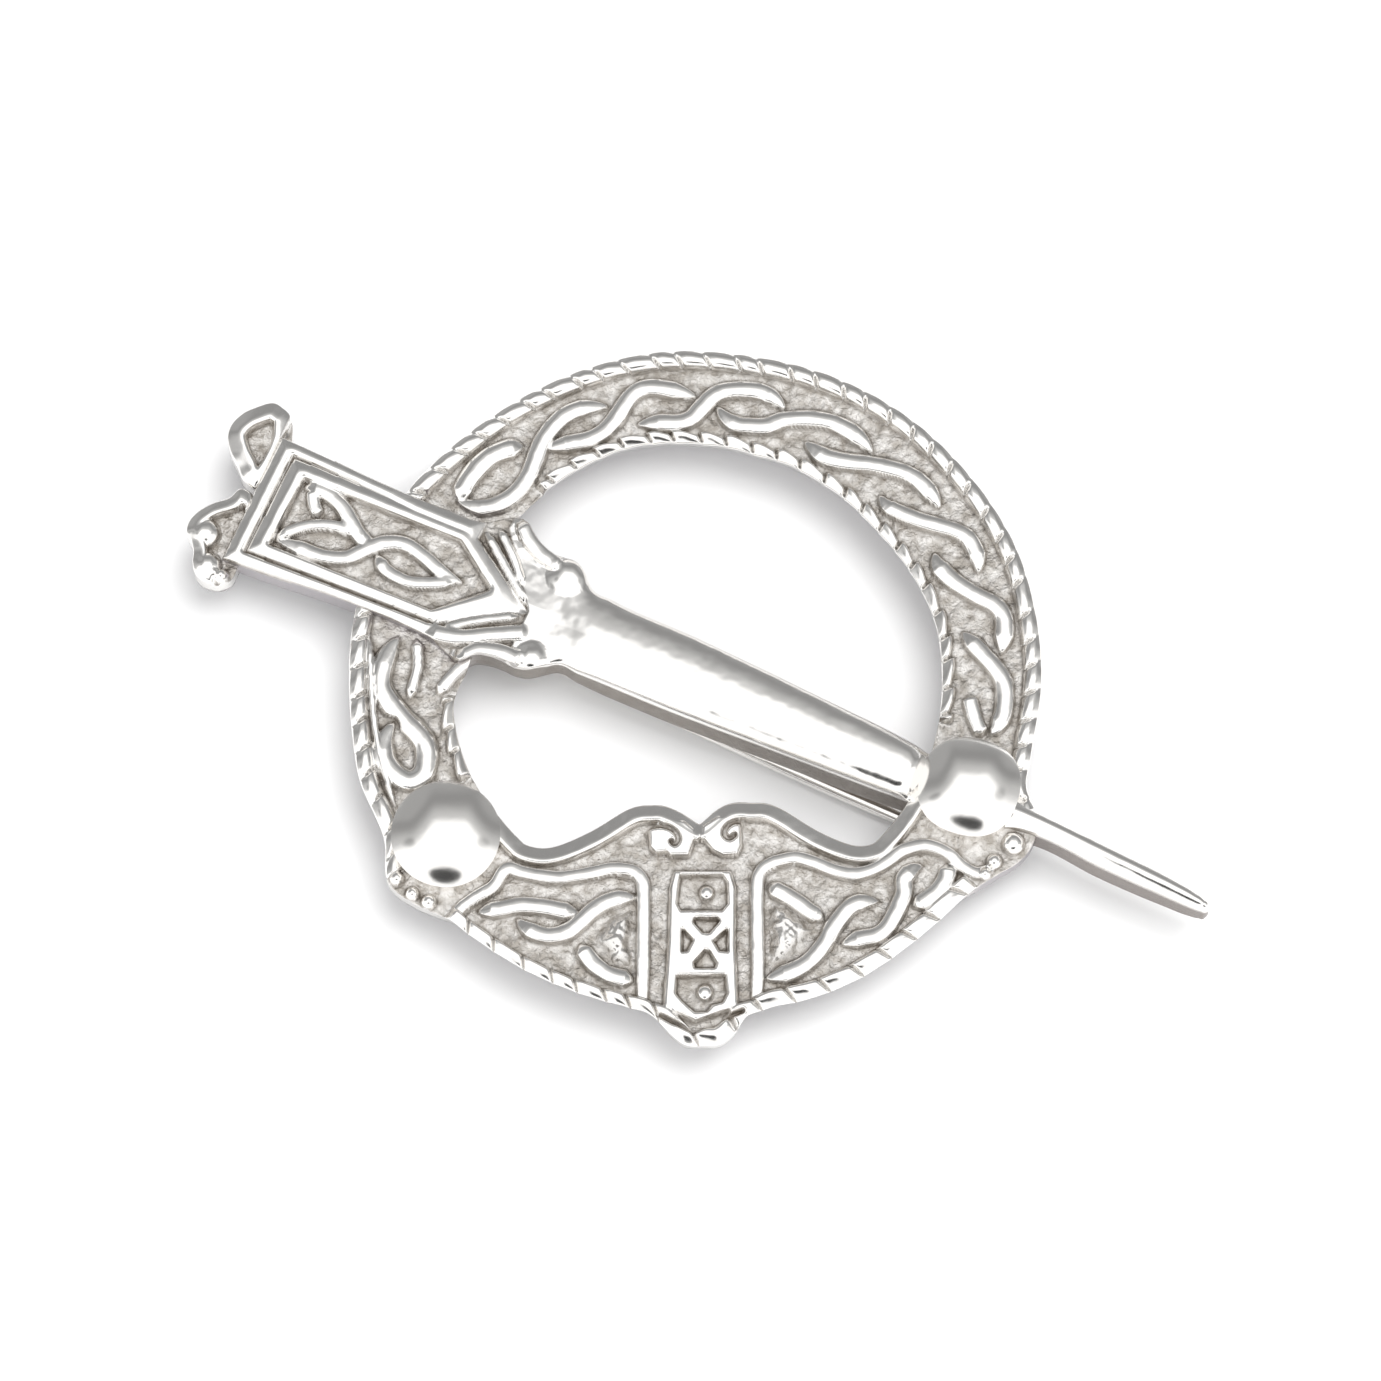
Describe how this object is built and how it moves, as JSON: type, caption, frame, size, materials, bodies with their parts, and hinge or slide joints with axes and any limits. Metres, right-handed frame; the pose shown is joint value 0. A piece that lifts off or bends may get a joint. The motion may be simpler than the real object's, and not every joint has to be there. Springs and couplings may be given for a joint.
{
  "type": "penannular brooch",
  "caption": "Ring brooch in cast silver with rope borders, interlace, domed bosses, a framed head, a bar across the ring, a point outside it and a riveted pin behind.",
  "frame": {"origin": "on the ground, under the middle of the brooch's own box", "axes": "+X to the right and +Y up the face, as the brooch is seen from the front, +Z out of the face and up"},
  "size_m": [0.056, 0.0392, 0.0056],
  "materials": {
    "cast_silver": "polished sterling silver, with matte grounds between the raised work",
    "silver_wire": "drawn silver wire, burnished"
  },
  "bodies": {
    "brooch": {"brooch_casting": "cast_silver", "hinge_rivet": "silver_wire"},
    "pin": {"pin_stem": "silver_wire"}
  },
  "joints": [
    {"name": "pin_hinge", "type": "hinge", "parent": "brooch", "child": "pin", "pos_m": [-0.01216, 0.00469, 0.001], "axis": [0.421, 0.907, 0], "range_deg": [0, 100]}
  ]
}
